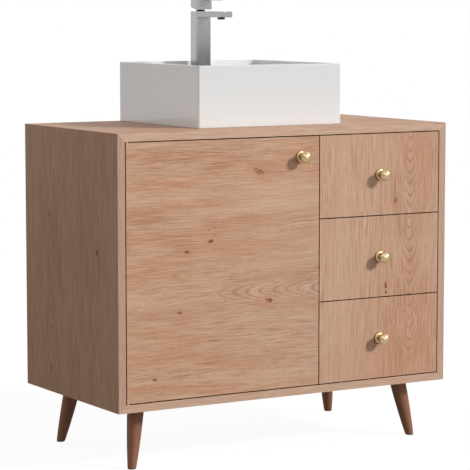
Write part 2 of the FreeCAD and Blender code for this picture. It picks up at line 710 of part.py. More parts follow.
def seals():
    """Silicone bead under the sink, drain seals and faucet gasket."""
    half = SINK_WIDTH / 2
    outer, inner = [rounded_box(-half + inset, half - inset, SINK_FRONT + inset, SINK_BACK - inset,
                                TOP, SINK_BASE, 4) for inset in (2, 12)]
    bead = outer.cut(inner)
    flange_seal = ring(DRAIN_SEAL_R, DRAIN_TUBE_R, DRAIN_Y, TOP + DRAIN_SEAT,
                       TOP + DRAIN_SEAT + FLANGE_SEAL_THICK)
    nut_seal = ring(DRAIN_SEAL_R, DRAIN_TUBE_R, DRAIN_Y, IN_TOP - NUT_SEAL_THICK, IN_TOP)
    inset = 0.5
    gasket = rounded_box(-FAUCET_WIDTH / 2 + inset, FAUCET_WIDTH / 2 - inset,
                         BODY_Y0 + inset, BODY_Y1 - inset, DECK, TOP + FAUCET_BASE, 3)
    gasket = gasket.cut(upright(FAUCET_HOLE_R - 1, 0, FAUCET_Y, DECK, TOP + FAUCET_BASE))
    save("rubber_seals", [bead, flange_seal, nut_seal, gasket])


def drain():
    """Pop-up drain clamped through the sink and the top panel."""
    flange_base = TOP + DRAIN_SEAT + FLANGE_SEAL_THICK
    flange_top = flange_base + FLANGE_THICK
    tube_end = IN_TOP - TUBE_BELOW_TOP
    thread_top = IN_TOP - THREAD_BELOW_TOP
    flange = Part.makeCone(DRAIN_FLANGE_R, DRAIN_FLANGE_R - 2, FLANGE_THICK,
                           V(0, DRAIN_Y, flange_base))
    body = flange.fuse(upright(DRAIN_TUBE_R, 0, DRAIN_Y, tube_end, flange_base))
    body = body.cut(upright(DRAIN_BORE_R, 0, DRAIN_Y, tube_end, flange_top))
    guide_top = TOP + GUIDE_HEIGHT
    reach = DRAIN_BORE_R + 1
    half_bar = GUIDE_BAR / 2
    body = body.fuse(upright(GUIDE_HUB_R, 0, DRAIN_Y, TOP, guide_top))
    body = body.fuse(box(-reach, reach, DRAIN_Y - half_bar, DRAIN_Y + half_bar, TOP, guide_top))
    body = body.fuse(box(-half_bar, half_bar, DRAIN_Y - reach, DRAIN_Y + reach, TOP, guide_top))
    save("drain_body", body.cut(upright(PLUG_STEM_R + RUNNING, 0, DRAIN_Y, TOP, guide_top)))

    nut_top = IN_TOP - NUT_SEAL_THICK
    nut_base = nut_top - DRAIN_NUT_THICK
    nut = hexagon(DRAIN_NUT_FLATS, 0, DRAIN_Y, nut_base, nut_top)
    save("drain_nut", nut.cut(upright(DRAIN_TUBE_R, 0, DRAIN_Y, nut_base, nut_top)))
    tail = upright(TAIL_R, 0, DRAIN_Y, IN_TOP - TAIL_DROP, tube_end)
    tail = tail.fuse(upright(DRAIN_BORE_R, 0, DRAIN_Y, tube_end, thread_top))
    bore = upright(TAIL_R - TAIL_WALL, 0, DRAIN_Y, IN_TOP - TAIL_DROP, thread_top)
    save("drain_tailpiece", tail.cut(bore))

    cap_base = flange_top + PLUG_LIFT
    cap = turned([
        line((0, 0), (PLUG_R - 1, 0)),
        arc((PLUG_R - 1, 0), (PLUG_R, 1.2), (PLUG_R - 0.8, 2.4)),
        dome((PLUG_R - 0.8, 2.4), 4.8),
        line((0, 4.8), (0, 0)),
    ])
    cap.translate(V(0, DRAIN_Y, cap_base))
    stem = upright(PLUG_STEM_R, 0, DRAIN_Y, TOP - PLUG_STEM_BELOW, cap_base)
    save("drain_plug", cap.fuse(stem))


# ---------------------------------------------------------------- faucet
def faucet_body(base, top, inlets, stud):
    """Square column with its spout, bored for the cartridge, waterways, hoses and stud."""
    half = FAUCET_WIDTH / 2
    spout_base = top - SPOUT_THICK
    outline = [(BODY_Y0, base), (BODY_Y1, base), (BODY_Y1, top), (SPOUT_Y0, top),
               (SPOUT_Y0, spout_base), (BODY_Y0, spout_base)]
    body = extruded_x(outline, -half, half)
    body = body.makeFillet(FAUCET_ARRIS, body.Edges)
    water_z = spout_base + SPOUT_THICK / 2
    tools = [upright(CARTRIDGE_R, 0, FAUCET_Y, top - CARTRIDGE_DEPTH, top),
             rod(WATERWAY_R, (0, OUTLET_Y, water_z), (0, FAUCET_Y, water_z)),
             upright(AERATOR_R - 1.5, 0, OUTLET_Y, spout_base, water_z + 2),
             stud]
    for x, y in inlets:
        tools.append(upright(INLET_R, x, y, base, base + INLET_DEPTH))
        tools.append(upright(PORT_R, x, y, base + INLET_DEPTH, top - CARTRIDGE_DEPTH))
    save("faucet_body", cut_all(body, tools))


def aerator(spout_base):
    """Ring under the spout with a plate of small outlets."""
    inner_r = AERATOR_R - 1.5
    plate_top = spout_base + 2.5
    body = upright(AERATOR_R, 0, OUTLET_Y, spout_base - AERATOR_OUT, spout_base)
    body = body.fuse(upright(inner_r, 0, OUTLET_Y, spout_base, plate_top))
    body = body.cut(upright(AERATOR_R - 3, 0, OUTLET_Y, spout_base - AERATOR_OUT, spout_base + 1))
    outlets = []
    for i in range(6):
        turn = math.radians(60 * i)
        outlets.append(upright(0.8, 3.2 * math.cos(turn), OUTLET_Y + 3.2 * math.sin(turn),
                               spout_base, plate_top))
    save("aerator", cut_all(body, outlets))


def cartridge_and_collar(top, inlets):
    """Cartridge in the body, and the collar, tilt pin and stem that turn and tilt on it."""
    spigot_r = NECK_R - 1.5
    spigot_base = top - 11
    cartridge_base = top - CARTRIDGE_DEPTH
    side_port_z = cartridge_base + 20
    ports = [upright(spigot_r + RUNNING, 0, FAUCET_Y, spigot_base - BODY_CLEARANCE, top),
             rod(WATERWAY_R, (0, BODY_Y0, side_port_z), (0, FAUCET_Y, side_port_z))]
    ports.extend(upright(2.0, x, y, cartridge_base, cartridge_base + 10) for x, y in inlets)
    cartridge = upright(CARTRIDGE_R, 0, FAUCET_Y, cartridge_base, top)
    save("faucet_cartridge", cut_all(cartridge, ports))

    neck_base = top + BODY_CLEARANCE
    neck_top = TOP + NECK_TOP
    tilt_z = TOP + TILT_HEIGHT
    collar = upright(spigot_r, 0, FAUCET_Y, spigot_base, neck_base)
    collar = collar.fuse(upright(NECK_R, 0, FAUCET_Y, neck_base, neck_top))
    pin_half = NECK_R - 1
    pin = rod(TILT_PIN_R, (-pin_half, FAUCET_Y, tilt_z), (pin_half, FAUCET_Y, tilt_z))
    bore = upright(STEM_R + 2.5, 0, FAUCET_Y, spigot_base, neck_top)
    save("faucet_collar", cut_all(collar, [bore, pin]))
    save("tilt_pin", pin)

    stem = upright(STEM_R, 0, FAUCET_Y, tilt_z - 7, TOP + HANDLE_BASE + 16)
    eye = rod(TILT_PIN_R + RUNNING, (-STEM_R - 1, FAUCET_Y, tilt_z), (STEM_R + 1, FAUCET_Y, tilt_z))
    save("cartridge_stem", stem.cut(eye))
    return stem


def faucet_handle(stem):
    """Block handle with a flat lever that reaches forward."""
    front = BODY_Y0 - HANDLE_PROUD
    base = TOP + HANDLE_BASE
    top = TOP + HANDLE_TOP
    lever_tip = BODY_Y0 - LEVER_REACH
    lever_under = top - LEVER_THICK
    outline = [(front, base), (BODY_Y1 - HANDLE_CHAMFER_Y, base),
               (BODY_Y1, base + HANDLE_CHAMFER_Z), (BODY_Y1, top), (lever_tip, top),
               (lever_tip, lever_under), (front, lever_under)]
    handle = extruded_x(outline, -HANDLE_WIDTH / 2, HANDLE_WIDTH / 2)
    handle = handle.makeFillet(FAUCET_ARRIS, handle.Edges)
    save("faucet_handle", handle.cut(stem))


def faucet_fixings(stud, stud_y):
    """Mounting stud, slotted washer and nut under the deck."""
    washer_base = DECK_UNDER - WASHER_THICK
    nut_base = washer_base - 7
    washer = upright(WASHER_R, 0, FAUCET_Y, washer_base, DECK_UNDER)
    slot = box(-15, 15, FAUCET_Y - WASHER_R - 1, FAUCET_Y + 3, washer_base, DECK_UNDER)
    nut = hexagon(13, 0, stud_y, nut_base, washer_base)
    save("faucet_clamp", [cut_all(washer, [slot, stud]), nut.cut(stud)])
    save("faucet_mounting_stud", stud)


def faucet():
    """Square-section faucet: body with spout, cartridge, tilting lever and fixings."""
    base = TOP + FAUCET_BASE
    top = TOP + FAUCET_TOP
    stud_y = FAUCET_Y + STUD_BACK
    inlets = [(side * INLET_X, FAUCET_Y - INLET_FORWARD) for side in (-1, 1)]
    stud = upright(STUD_R, 0, stud_y, DECK_UNDER - STUD_BELOW_DECK, base + STUD_IN_BODY)
    faucet_body(base, top, inlets, stud)
    aerator(top - SPOUT_THICK)
    faucet_handle(cartridge_and_collar(top, inlets))
    faucet_fixings(stud, stud_y)


os.makedirs("parts", exist_ok=True)
carcass()
legs()
door()
drawers()
sink_basin()
seals()
drain()
faucet()
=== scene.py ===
"""Looks of a freestanding oak vanity with a ceramic vessel sink and a square lever faucet.

Everything is in metres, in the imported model's frame: +Z up, the front faces -Y.
"""
import json
import math

import bpy
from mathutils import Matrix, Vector


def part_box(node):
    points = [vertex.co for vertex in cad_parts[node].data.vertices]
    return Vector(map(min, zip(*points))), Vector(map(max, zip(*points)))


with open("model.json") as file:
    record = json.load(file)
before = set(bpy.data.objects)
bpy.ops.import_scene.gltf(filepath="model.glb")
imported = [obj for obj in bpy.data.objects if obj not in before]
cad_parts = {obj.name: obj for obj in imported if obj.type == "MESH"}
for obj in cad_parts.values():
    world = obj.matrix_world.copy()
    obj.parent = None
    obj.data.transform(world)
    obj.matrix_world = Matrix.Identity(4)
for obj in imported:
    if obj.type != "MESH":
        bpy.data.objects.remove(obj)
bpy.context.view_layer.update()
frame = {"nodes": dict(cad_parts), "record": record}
nodes = frame["nodes"]

MM = 0.001
DRAWERS = (1, 2, 3)
DRAWER_FRONTS = ["drawer_%d_front" % number for number in DRAWERS]
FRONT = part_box("top_panel")[0].y            # the cabinet's front face


# ---------------------------------------------------------------- camera
CAMERA_AT = (-2.7362, -4.5472, 1.0786)
CAMERA_YAW = 30.904         # degrees to the right of straight at the front
CAMERA_DOWN = 6.122         # degrees below level
CAMERA_LENS = 166.27        # millimetres, as is the sensor's width
SENSOR = 36.0


def add_camera():
    """Long-lens camera in front of the vanity and to its left."""
    data = bpy.data.cameras.new("camera")
    data.lens = CAMERA_LENS
    data.sensor_width = SENSOR
    camera = bpy.data.objects.new("camera", data)
    camera.location = CAMERA_AT
    camera.rotation_euler = (math.radians(90 - CAMERA_DOWN), 0, math.radians(-CAMERA_YAW))
    bpy.context.scene.collection.objects.link(camera)
    bpy.context.scene.camera = camera


# ---------------------------------------------------------------- lights and floor
SUN_FROM = Vector((0.98, -1.0, 0.74))
SUN_POWER = 2.15
SUN_ANGLE = 8               # degrees, which sets how soft the shadows are
SUN_COLOR = (1.0, 0.995, 0.98)
SURROUND_COLOR = (1.0, 0.985, 0.97)
FLOOR_REACH = 4.0
FLOOR_GREY = 0.14           # as a surface that is lit
FLOOR_SEEN = 0.93           # as the camera sees it
FLOOR_MIRRORED = 0.55       # as reflections show it


def add_area(name, at, target, size, power):
    """Soft rectangular light that faces a point."""
    data = bpy.data.lights.new(name, "AREA")
    data.shape = "RECTANGLE"
    data.size, data.size_y = size
    data.energy = power
    light = bpy.data.objects.new(name, data)
    light.location = at
    light.rotation_euler = (Vector(target) - Vector(at)).to_track_quat("-Z", "Y").to_euler()
    bpy.context.scene.collection.objects.link(light)
    return light


def add_lights():
    """Key sun from the front right, soft boxes in front and at the left, and a glint.

    The glint box lights only what is glossy.
    """
    data = bpy.data.lights.new("key_sun", "SUN")
    data.energy = SUN_POWER
    data.angle = math.radians(SUN_ANGLE)
    data.color = SUN_COLOR
    sun = bpy.data.objects.new("key_sun", data)
    sun.rotation_euler = SUN_FROM.to_track_quat("Z", "Y").to_euler()
    bpy.context.scene.collection.objects.link(sun)

    add_area("front_box", at=(0.3, -4.5, 1.3), target=(0, 0, 0.6), size=(3.0, 2.4), power=31)
    add_area("left_box", at=(-4.2, 0.9, 1.3), target=(0, 0.1, 0.7), size=(2.4, 1.6), power=21)
    glint = add_area("glint_box", at=(-2.4, -3.6, 2.9), target=(0, -0.2, 0.6), size=(3.2, 2.0),
                     power=22)
    glint.visible_diffuse = False


def add_world():
    """White surround for the camera; as a light it is dim, brighter behind and by the key.

    The strengths are functions of the direction that a ray goes in.
    """
    world = bpy.data.worlds.new("surround")
    world.use_nodes = True
    tree = world.node_tree
    tree.nodes.clear()
    out = tree.nodes.new("ShaderNodeOutputWorld")
    seen = tree.nodes.new("ShaderNodeBackground")
    given = tree.nodes.new("ShaderNodeBackground")
    mix = tree.nodes.new("ShaderNodeMixShader")
    path = tree.nodes.new("ShaderNodeLightPath")
    direction = tree.nodes.new("ShaderNodeTexCoord")
    x, y, z = split_axes(tree, direction.outputs["Generated"])
    even = 0.26
    behind = y.smooth(-0.4, 0.9, 0.0, 0.56)
    by_key = (x - y).smooth(0.3, 1.35, 0.0, 0.34)
    overhead = z.smooth(0.15, 0.9, 1.0, 0.40)
    mirrored = Field(tree, path.outputs["Is Glossy Ray"]) * z.smooth(0.1, 0.6, 0.0, 0.60)
    strength = (behind + by_key + even) * overhead + mirrored
    tree.links.new(strength.socket, given.inputs["Strength"])
    given.inputs["Color"].default_value = (*SURROUND_COLOR, 1)
    seen.inputs["Color"].default_value = (1, 1, 1, 1)
    tree.links.new(path.outputs["Is Camera Ray"], mix.inputs[0])
    tree.links.new(given.outputs[0], mix.inputs[1])
    tree.links.new(seen.outputs[0], mix.inputs[2])
    tree.links.new(mix.outputs[0], out.inputs[0])
    bpy.context.scene.world = world


def add_floor():
    """Plain pale floor that runs into the white surround, with only faint shadows."""
    mesh = bpy.data.meshes.new("floor")
    corners = [(x * FLOOR_REACH, y * FLOOR_REACH, 0) for x, y in ((-1, -1), (1, -1), (1, 1), (-1, 1))]
    mesh.from_pydata(corners, [], [(0, 1, 2, 3)])
    floor = bpy.data.objects.new("floor", mesh)
    bpy.context.scene.collection.objects.link(floor)
    material = bpy.data.materials.new("pale_floor")
    material.use_nodes = True
    tree = material.node_tree
    shader = tree.nodes["Principled BSDF"]
    shader.inputs["Base Color"].default_value = (FLOOR_GREY, FLOOR_GREY, FLOOR_GREY, 1)
    shader.inputs["Roughness"].default_value = 0.9
    shader.inputs["Specular IOR Level"].default_value = 0.0
    shader.inputs["Emission Color"].default_value = (1, 1, 1, 1)
    path = tree.nodes.new("ShaderNodeLightPath")
    seen = Field(tree, path.outputs["Is Camera Ray"]) * FLOOR_SEEN
    mirrored = Field(tree, path.outputs["Is Glossy Ray"]) * FLOOR_MIRRORED
    tree.links.new((seen + mirrored).socket, shader.inputs["Emission Strength"])
    mesh.materials.append(material)


# ---------------------------------------------------------------- node formulas
class Field:
    """A number or vector in a shader tree, so that formulas read as arithmetic."""

    def __init__(self, tree, socket):
        self.tree = tree
        self.socket = socket

    def _math(self, operation, *others):
        node = self.tree.nodes.new("ShaderNodeMath")
        node.operation = operation
        for index, value in enumerate((self,) + others):
            if isinstance(value, Field):
                self.tree.links.new(value.socket, node.inputs[index])
            else:
                node.inputs[index].default_value = value
        return Field(self.tree, node.outputs[0])

    def __add__(self, other):
        return self._math("ADD", other)

    def __sub__(self, other):
        return self._math("SUBTRACT", other)

    def __mul__(self, other):
        return self._math("MULTIPLY", other)

    def __truediv__(self, other):
        return self._math("DIVIDE", other)

    def power(self, other):
        return self._math("POWER", other)

    def maximum(self, other):
        return self._math("MAXIMUM", other)

    def root(self):
        return self._math("SQRT")

    def sine(self):
        return self._math("SINE")

    def step(self, edge):
        """1 above the edge, otherwise 0."""
        return self._math("GREATER_THAN", edge)

    def smooth(self, low, high, out_low=0.0, out_high=1.0):
        """Smooth step from out_low at low to out_high at high."""
        node = self.tree.nodes.new("ShaderNodeMapRange")
        node.interpolation_type = "SMOOTHSTEP"
        self.tree.links.new(self.socket, node.inputs["Value"])
        for name, value in (("From Min", low), ("From Max", high),
                            ("To Min", out_low), ("To Max", out_high)):
            node.inputs[name].default_value = value
        return Field(self.tree, node.outputs["Result"])


def split_axes(tree, vector):
    """The x, y and z of a vector socket, as fields."""
    split = tree.nodes.new("ShaderNodeSeparateXYZ")
    tree.links.new(vector, split.inputs[0])
    return [Field(tree, socket) for socket in split.outputs]


class Surface:
    """A material in the making, with the shader and the piece's own coordinates."""

    def __init__(self, name):
        self.material = bpy.data.materials.new(name)
        self.material.use_nodes = True
        self.tree = self.material.node_tree
        self.shader = self.tree.nodes["Principled BSDF"]
        coordinates = self.tree.nodes.new("ShaderNodeTexCoord")
        self.x, self.y, self.z = split_axes(self.tree, coordinates.outputs["Object"])

    def set(self, **values):
        """Plain values on the shader's own sockets."""
        for name, value in values.items():
            self.shader.inputs[name.replace("_", " ")].default_value = value

    def vector(self, x, y, z):
        """Vector from three fields or numbers."""
        node = self.tree.nodes.new("ShaderNodeCombineXYZ")
        for index, value in enumerate((x, y, z)):
            if isinstance(value, Field):
                self.tree.links.new(value.socket, node.inputs[index])
            else:
                node.inputs[index].default_value = value
        return Field(self.tree, node.outputs[0])

    def noise(self, place, scale=1.0, detail=3.0, roughness=0.5):
        """Noise from 0 to 1 at a vector."""
        node = self.tree.nodes.new("ShaderNodeTexNoise")
        self.tree.links.new(place.socket, node.inputs["Vector"])
        for name, value in (("Scale", scale), ("Detail", detail), ("Roughness", roughness)):
            node.inputs[name].default_value = value
        return Field(self.tree, node.outputs["Fac"])

    def mix(self, share, first, second):
        """Colour between two colours, each a field or a triple."""
        node = self.tree.nodes.new("ShaderNodeMix")
        node.data_type = "RGBA"
        for name, value in (("Factor", share), ("A", first), ("B", second)):
            inputs = [socket for socket in node.inputs if socket.name == name and socket.enabled]
            if isinstance(value, Field):
                self.tree.links.new(value.socket, inputs[0])
            elif name == "Factor":
                inputs[0].default_value = value
            else:
                inputs[0].default_value = (*value, 1)
        outputs = [socket for socket in node.outputs if socket.enabled]
        return Field(self.tree, outputs[0])

    def tint(self, color, factor):
        """Colour with its brightness multiplied by a field."""
        node = self.tree.nodes.new("ShaderNodeVectorMath")
        node.operation = "SCALE"
        self.tree.links.new(color.socket, node.inputs[0])
        self.tree.links.new(factor.socket, node.inputs["Scale"])
        return Field(self.tree, node.outputs[0])

    def color(self, field):
        """Link the base colour."""
        self.tree.links.new(field.socket, self.shader.inputs["Base Color"])

    def rough(self, field):
        """Link the roughness."""
        self.tree.links.new(field.socket, self.shader.inputs["Roughness"])

    def bump(self, height, distance):
        """Relief of a given height in metres."""
        node = self.tree.nodes.new("ShaderNodeBump")
        node.inputs["Distance"].default_value = distance
        node.inputs["Strength"].default_value = 1.0
        self.tree.links.new(height.socket, node.inputs["Height"])
        self.tree.links.new(node.outputs[0], self.shader.inputs["Normal"])


# ---------------------------------------------------------------- wood
OAK_LIGHT = (0.670, 0.430, 0.295)
OAK_MID = (0.570, 0.330, 0.210)
OAK_ORANGE = (0.560, 0.262, 0.140)
OAK_PINK = (0.530, 0.275, 0.190)
OAK_LINE = (0.360, 0.145, 0.078)
OAK_FLAME = (0.440, 0.185, 0.090)
OAK_EDGE = (0.645, 0.445, 0.335)
OAK_PALE = (0.740, 0.520, 0.380)
# painted shade: the dark of the gaps round the fronts, laid on the edges beside them
OAK_GAP_SHADE = (0.110, 0.034, 0.013)
OAK_PORE_DEPTH = 0.12 * MM
KNOT = (0.150, 0.045, 0.022)
BOARD_LIGHT = (0.64, 0.45, 0.30)
BOARD_DARK = (0.53, 0.35, 0.22)
LEG_LIGHT = (0.35, 0.152, 0.082)
LEG_DARK = (0.24, 0.096, 0.050)
PLAIN_FIBRE_DEPTH = 0.08 * MM


def gap_shade_mask(s):
    """1 on the edges of the fronts and of the frame that they stand in, which get painted shade for
    the dark gap lines.
    """
    low = Vector((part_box("left_side_panel")[0].x, FRONT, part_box("bottom_panel")[0].z))
    high = Vector((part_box("right_side_panel")[1].x, FRONT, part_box("top_panel")[1].z))
    panel = 19 * MM
    slack = 0.15 * MM
    shade_from = FRONT + 0.5 * MM
    shade_to = FRONT + 17.5 * MM
    mask = s.y.step(shade_from) * (s.y.step(shade_to) * -1 + 1)
    for axis in "xz":
        place = getattr(s, axis)
        first = getattr(low, axis) + panel - slack
        last = getattr(high, axis) - panel + slack
        mask = mask * place.step(first) * (place.step(last) * -1 + 1)
    return mask


def oak(name, along, across, through, heart, apex, taper, depth, shift, knots=(), tints=(),
        gain=1.0, pale=0.0, edge_y=None):
    """Flat-sawn oak veneer.

    along, across and through say which of x, y, z runs with the grain, across it on the face and
    into the board.  The growth rings are cones about a line behind the face: heart is the line's
    place across the face, depth its distance behind, and taper how fast the rings narrow, which
    draws arches that start at apex and point to -along, or to +along if taper is negative.
    shift sets one board's noise apart from another's.  knots are (along, across, size) and tints
    (along, across, length, width, colour, strength), all in metres.  gain brightens the whole,
    pale washes it lighter, and edge_y is the front edge that carries a lighter lipping.
    """
    s = Surface(name)
    a, c, d = (getattr(s, axis) for axis in (along, across, through))

    # knots, which also bend the grain round them
    ragged = s.noise(s.vector(a * 150.0, c * 230.0, d + shift), 1.0, 3.0) - 0.5
    bent = c
    core = None
    halo = None
    for at_a, at_c, size in knots:
        da = (a - at_a) * 0.60
        dc = c - at_c
        square = (da * da + dc * dc).maximum(size * size * 0.5)
        bent = bent - dc * (square.power(-1) * (size * size * 1.8))
        reach = square.root() + ragged * (size * 1.6)
        spot = reach.smooth(size * 0.50, size * 1.20, 1.0, 0.0)
        blush = reach.smooth(size * 1.2, size * 5.0, 1.0, 0.0)
        core = spot if core is None else core.maximum(spot)
        halo = blush if halo is None else halo.maximum(blush)

    # growth rings
    sway = s.noise(s.vector(a * 2.2 + shift, bent * 5.0, d + shift), 1.0, 2.0) - 0.5
    ripple = s.noise(s.vector(a * 11.0, bent * 22.0, d + shift + 2.0), 1.0, 3.0) - 0.5
    side = bent + sway * 0.030 + ripple * 0.0040 - heart
    near = (side * side).smooth(0.0003, 0.009, 1.0, 0.12)
    ahead = (a - apex) * math.copysign(1.0, taper)
    ring = (side * side + depth * depth).root() - ahead.maximum(-0.02) * near * abs(taper)

    # streaks from fine to broad, each stretched along the grain
    hair = s.noise(s.vector(a * 26.0, bent * 640.0, d * 640.0 + shift), 1.0, 3.0, 0.65)
    fine = s.noise(s.vector(a * 12.0, side * 460.0, d * 460.0 + shift), 1.0, 3.0, 0.6)
    streak = s.noise(s.vector(a * 6.5, ring * 190.0, d * 150.0 + shift), 1.0, 5.0, 0.75)
    zone = s.noise(s.vector(a * 2.8 + shift, ring * 30.0, d * 30.0 + 9.0), 1.0, 5.0, 0.66)
    blotch = s.noise(s.vector(a * 5.0 + 3.0, side * 18.0, d * 18.0 + shift), 1.0, 5.0, 0.7)
    dash = s.noise(s.vector(a * 42.0 + 7.0, bent * 380.0, d * 380.0 + shift), 1.0, 1.0, 0.6)
    late = (ring * 1150.0 + fine * 2.6 + streak * 7.0).sine()

    # colour
    base = s.mix(streak.smooth(0.34, 0.66), OAK_LIGHT, OAK_MID)
    base = s.mix(zone.smooth(0.46, 0.64) * 0.54, base, OAK_ORANGE)
    base = s.mix(blotch.smooth(0.52, 0.72) * 0.34, base, OAK_PINK)
    for at_a, at_c, length, width, color, strength in tints:
        da = (a - at_a) / length
        dc = (side + heart - at_c) / width
        share = (da * da + dc * dc).root().smooth(0.25, 1.0, strength, 0.0)
        base = s.mix(share * fine.smooth(0.36, 0.60, 0.35, 1.0), base, color)
    base = s.mix(pale, base, OAK_EDGE)
    calm = s.noise(s.vector(a * 3.2 + shift, bent * 9.0, d + 4.0), 1.0, 2.0).smooth(0.38, 0.58)
    base = s.mix(fine.smooth(0.50, 0.64) * (calm * 0.36 + 0.22), base, OAK_LINE)
    base = s.mix(fine.smooth(0.34, 0.48, 0.42, 0.0), base, OAK_PALE)
    base = s.mix(dash.smooth(0.58, 0.74) * 0.36, base, OAK_LINE)
    arches = (side * side).smooth(0.0008, 0.0060, 1.0, 0.0) * ahead.smooth(-0.04, 0.02)
    base = s.mix(arches * late.smooth(0.50, 1.0) * 0.46, base, OAK_LINE)
    if core is not None:
        base = s.mix(halo * 0.34, base, OAK_ORANGE)
        base = s.mix(core * 0.90, base, KNOT)

    # brightness, the lipping and the painted shade on the edges by the gaps
    tone = hair * 0.40 + 0.83
    if edge_y is None:
        tone = tone * gain
    else:
        lip = s.y.step(edge_y + 0.3 * MM) * -1 + 1
        tone = tone * (lip * (0.5 - 0.5 * gain) + gain)
        base = s.mix(lip * fine.smooth(0.35, 0.65, 0.85, 0.45), base, OAK_EDGE)
    # the edges by the gaps get painted shade
    s.color(s.mix(gap_shade_mask(s), s.tint(base, tone), OAK_GAP_SHADE))
    s.rough(hair * 0.18 + 0.46)
    s.bump(hair * 0.6 + fine * 0.4, OAK_PORE_DEPTH)
    s.set(Specular_IOR_Level=0.14)
    return s.material


def plain_wood(name, light, dark, shine=0.35):
    """Plain wood with upright grain: legs, drawer boxes, shelf and back."""
    s = Surface(name)
    streak = s.noise(s.vector(s.z * 3.0, s.x * 90.0, s.y * 90.0), 1.0, 4.0, 0.6)
    zone = s.noise(s.vector(s.z * 1.5, s.x * 7.0, s.y * 7.0), 1.0, 2.0)
    fibre = s.noise(s.vector(s.z * 16.0, s.x * 480.0, s.y * 480.0), 1.0, 3.0)
    s.color(s.tint(s.mix(streak * 0.6 + zone * 0.4, light, dark), fibre * 0.3 + 0.85))
    s.rough(fibre * 0.15 + 0.50)
    s.bump(fibre, PLAIN_FIBRE_DEPTH)
    s.set(Specular_IOR_Level=shine)
    return s.material


# ---------------------------------------------------------------- metals, ceramic, plastics
STEEL = (0.60, 0.61, 0.62)
NICKEL = (0.57, 0.57, 0.57)
CHROME = (0.80, 0.80, 0.81)
PLAIN_BRASS = (0.76, 0.58, 0.28)
BRASS = (0.80, 0.61, 0.34)
BRASS_DULL = (0.60, 0.45, 0.22)
# painted shade for the knob's neck and the base's edge by the door
BRASS_PAINTED_SHADE = (0.16, 0.09, 0.03)
GLAZE = (0.855, 0.868, 0.876)
GLAZE_THIN = (0.842, 0.855, 0.864)
GLAZE_WAVE_DEPTH = 0.8 * MM
MOULD_GRAIN_DEPTH = 0.05 * MM


def satin_metal(name, color, roughness, scratch=0.10, shade=None):
    """Brushed metal, with fine upright scratches.

    shade is (y, low z, high z, darkness at low, darkness at high) of the part in front of y.
    """
    s = Surface(name)
    scratches = s.noise(s.vector(s.x * 2400.0, s.y * 2400.0, s.z * 25.0), 1.0, 2.0)
    smear = s.noise(s.vector(s.x * 30.0, s.y * 30.0, s.z * 30.0), 1.0, 3.0)
    tinted = s.mix(scratches, color, tuple(0.9 * part for part in color))
    if shade is not None:
        y, low, high, dark_low, dark_high = shade
        in_front = s.y.step(y) * -1 + 1
        fall = s.z.smooth(low, high, dark_low, dark_high) * in_front
        tinted = s.tint(tinted, fall * -1 + 1)
    s.color(tinted)
    usual = 0.07                # about what the scratches and smears add
    s.rough(scratches * scratch + smear * 0.06 + (roughness - usual))
    s.set(Metallic=1.0)
    return s.material


def turned_brass():
    """Lacquered brass knob, with painted shade in the neck, under the head and on the base's edge."""
    s = Surface("turned_brass")
    tarnish = s.noise(s.vector(s.x, s.y, s.z), 160.0, 4.0, 0.6)
    rings = (s.y * 9000.0).sine() * 0.5 + 0.5
    out = s.y * -1 + FRONT
    # painted shade: the neck under the head and the base's edge against the front are darkened
    neck = out.smooth(4.6 * MM, 7.0 * MM) * out.smooth(18.0 * MM, 23.5 * MM, 1.0, 0.0)
    edge = out.smooth(1.6 * MM, 3.0 * MM, 1.0, 0.0)
    base_to_head = out.smooth(6.0 * MM, 12.0 * MM, 0.36, 0.21)
    brass = s.mix(tarnish.smooth(0.40, 0.80), BRASS, BRASS_DULL)
    s.color(s.mix(neck.maximum(edge) * 0.85, brass, BRASS_PAINTED_SHADE))
    s.rough(tarnish * 0.10 + rings * 0.03 + base_to_head)
    s.set(Metallic=1.0)
    return s.material


def glazed_ceramic():
    """White glaze with the slight unevenness of fired ceramic."""
    s = Surface("glazed_ceramic")
    wave = s.noise(s.vector(s.x, s.y, s.z), 9.0, 2.0)
    speck = s.noise(s.vector(s.x, s.y, s.z), 420.0, 2.0)
    s.color(s.mix(wave, GLAZE, GLAZE_THIN))
    s.rough(speck * 0.05 + 0.10)
    s.bump(wave, GLAZE_WAVE_DEPTH)
    s.set(Specular_IOR_Level=0.5, Coat_Weight=0.4, Coat_Roughness=0.04)
    return s.material


def moulded(name, color, roughness=0.5):
    """Moulded plastic or rubber with a fine texture."""
    s = Surface(name)
    grain = s.noise(s.vector(s.x, s.y, s.z), 900.0, 2.0)
    s.color(s.mix(grain, color, tuple(0.82 * part for part in color)))
    s.rough(grain * 0.12 + roughness)
    s.bump(grain, MOULD_GRAIN_DEPTH)
    return s.material


# ---------------------------------------------------------------- mesh helpers
FRONT_ARRIS = 1.1 * MM
PANEL_ARRIS = 0.5 * MM
FAUCET_ARRIS = 0.6 * MM


def paint(node, material):
    """Give a CAD node its material."""
    mesh = nodes[node].data
    mesh.materials.clear()
    mesh.materials.append(material)


def soften(node, width, arris=None):
    """Slightly rounded arrises on a CAD node, in a material of their own if one is given."""
    bevel = nodes[node].modifiers.new("arris", "BEVEL")
    bevel.width = width
    bevel.segments = 2
    bevel.limit_method = "ANGLE"
    bevel.angle_limit = math.radians(40)
    bevel.harden_normals = True
    if arris is not None:
        nodes[node].data.materials.append(arris)
        bevel.material = 1


# ---------------------------------------------------------------- the object's surfaces
def from_corner(left, top, marks, upright=False):
    """Marks measured rightward and downward from a front's top left corner, in the frame.

    With upright grain the height comes first, as the place along the grain.
    """
    placed = []
    for right, down, *rest in marks:
        place = (top - down, left + right) if upright else (left + right, top - down)
        placed.append((*place, *rest))
    return placed


